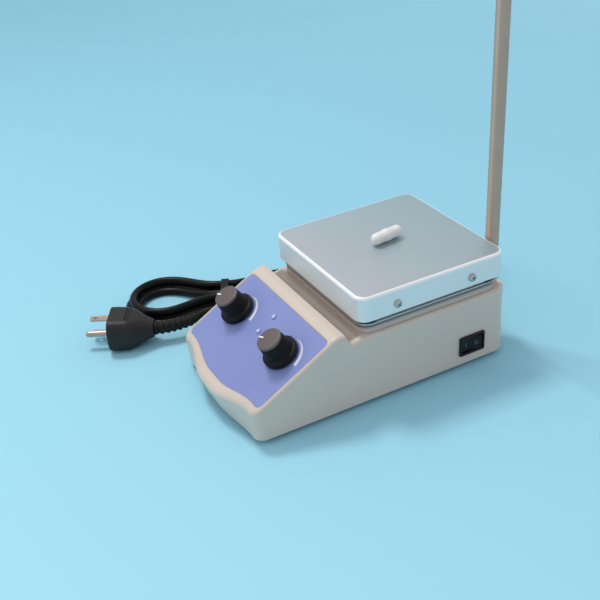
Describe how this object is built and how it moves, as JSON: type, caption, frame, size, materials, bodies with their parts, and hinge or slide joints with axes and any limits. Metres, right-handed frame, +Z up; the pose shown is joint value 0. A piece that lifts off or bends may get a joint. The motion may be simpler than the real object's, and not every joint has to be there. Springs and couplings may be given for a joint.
{
  "type": "hotplate magnetic stirrer",
  "caption": "Compact hotplate magnetic stirrer with a square plate, sloping panel with speed and heat knobs, rocker switch, upright support rod, corded mains plug and loose stir bar.",
  "frame": {"origin": "bottom centre of the stirrer's box without its cord, on the surface that its feet stand on", "axes": "+Z up; the control panel faces -Y, the mains switch is on +X and the support rod stands at the back (+Y)"},
  "size_m": [0.2388, 0.3366, 0.3464],
  "materials": {
    "paint": "warm light grey stoved paint, fine texture, satin",
    "panel": "violet-blue printed front foil with plain white scale marks, satin",
    "black_plastic": "black, semi-gloss",
    "black_rubber": "black, matt",
    "cord_sheath": "black cord sheath, satin",
    "plate_aluminium": "satin, silver",
    "cap_aluminium": "spun, warm grey",
    "holder_aluminium": "machined",
    "stainless": "drawn stainless, polished",
    "zinc_steel": "zinc plated, satin",
    "lamp_lens": "milky clear lamp",
    "circuit_board": "green board with soldered parts",
    "mica": "mica sheet",
    "insulation": "white fibre sheet",
    "plug_metal": "nickel plated brass",
    "magnet": "sintered magnet, dark grey",
    "stir_bar_coat": "white fluoropolymer coat, smooth"
  },
  "bodies": {
    "base": {"base_cover": "zinc_steel", "control_board": "circuit_board", "cord_gland": "black_rubber", "cord_hank": "cord_sheath", "cord_lead": "cord_sheath", "cord_tie": "black_rubber", "foot_front_left": "black_rubber", "foot_front_right": "black_rubber", "foot_rear_left": "black_rubber", "foot_rear_right": "black_rubber", "foot_screw_front_left": "zinc_steel", "foot_screw_front_right": "zinc_steel", "foot_screw_rear_left": "zinc_steel", "foot_screw_rear_right": "zinc_steel", "front_panel": "panel", "heat_lamp": "lamp_lens", "heat_pot_nut": "zinc_steel", "heat_potentiometer": "zinc_steel", "heater_element": "mica", "heating_plate": "plate_aluminium", "housing": "paint", "insulation_pad": "insulation", "motor": "zinc_steel", "motor_screw_left": "zinc_steel", "motor_screw_right": "zinc_steel", "plate_bracket_left": "zinc_steel", "plate_bracket_right": "zinc_steel", "plate_screw_front_left": "stainless", "plate_screw_front_right": "stainless", "plate_screw_rear_left": "stainless", "plate_screw_rear_right": "stainless", "plate_tray": "paint", "plug_blade_live": "plug_metal", "plug_blade_neutral": "plug_metal", "plug_body": "black_plastic", "plug_earth_pin": "plug_metal", "plug_lead": "cord_sheath", "plug_relief": "black_rubber", "power_lamp": "lamp_lens", "rod_nut": "zinc_steel", "stir_pot_nut": "zinc_steel", "stir_potentiometer": "zinc_steel", "support_rod": "stainless", "switch_frame": "black_plastic", "tray_screw_left": "zinc_steel", "tray_screw_right": "zinc_steel"},
    "stir_control": {"stir_knob": "black_plastic", "stir_knob_cap": "cap_aluminium", "stir_shaft": "zinc_steel"},
    "heat_control": {"heat_knob": "black_plastic", "heat_knob_cap": "cap_aluminium", "heat_shaft": "zinc_steel"},
    "power_rocker": {"switch_rocker": "black_plastic"},
    "drive_rotor": {"motor_shaft": "stainless", "magnet_holder": "holder_aluminium", "magnet_north": "magnet", "magnet_south": "magnet"},
    "loose_stir_bar": {"stir_bar": "stir_bar_coat"}
  },
  "joints": [
    {"name": "stir_knob_turn", "type": "hinge", "parent": "base", "child": "stir_control", "pos_m": [-0.0335, -0.06871, 0.04719], "axis": [0, 0.4938, -0.8696], "range_deg": [0, 225]},
    {"name": "heat_knob_turn", "type": "hinge", "parent": "base", "child": "heat_control", "pos_m": [0.0335, -0.06871, 0.04719], "axis": [0, 0.4938, -0.8696], "range_deg": [0, 225]},
    {"name": "switch_rock", "type": "hinge", "parent": "base", "child": "power_rocker", "pos_m": [0.05545, 0.0694, 0.0192], "axis": [0, 0, 1], "range_deg": [0, 18]},
    {"name": "magnet_spin", "type": "hinge", "parent": "base", "child": "drive_rotor", "pos_m": [0, 0.0368, 0.06], "axis": [0, 0, 1], "continuous": true},
    {"name": "stir_bar_spin", "type": "hinge", "parent": "base", "child": "loose_stir_bar", "pos_m": [0, 0.0368, 0.0907], "axis": [0, 0, 1], "continuous": true}
  ],
  "couplings": [
    {"joint": "stir_bar_spin", "follows": "magnet_spin", "ratio": 1}
  ]
}
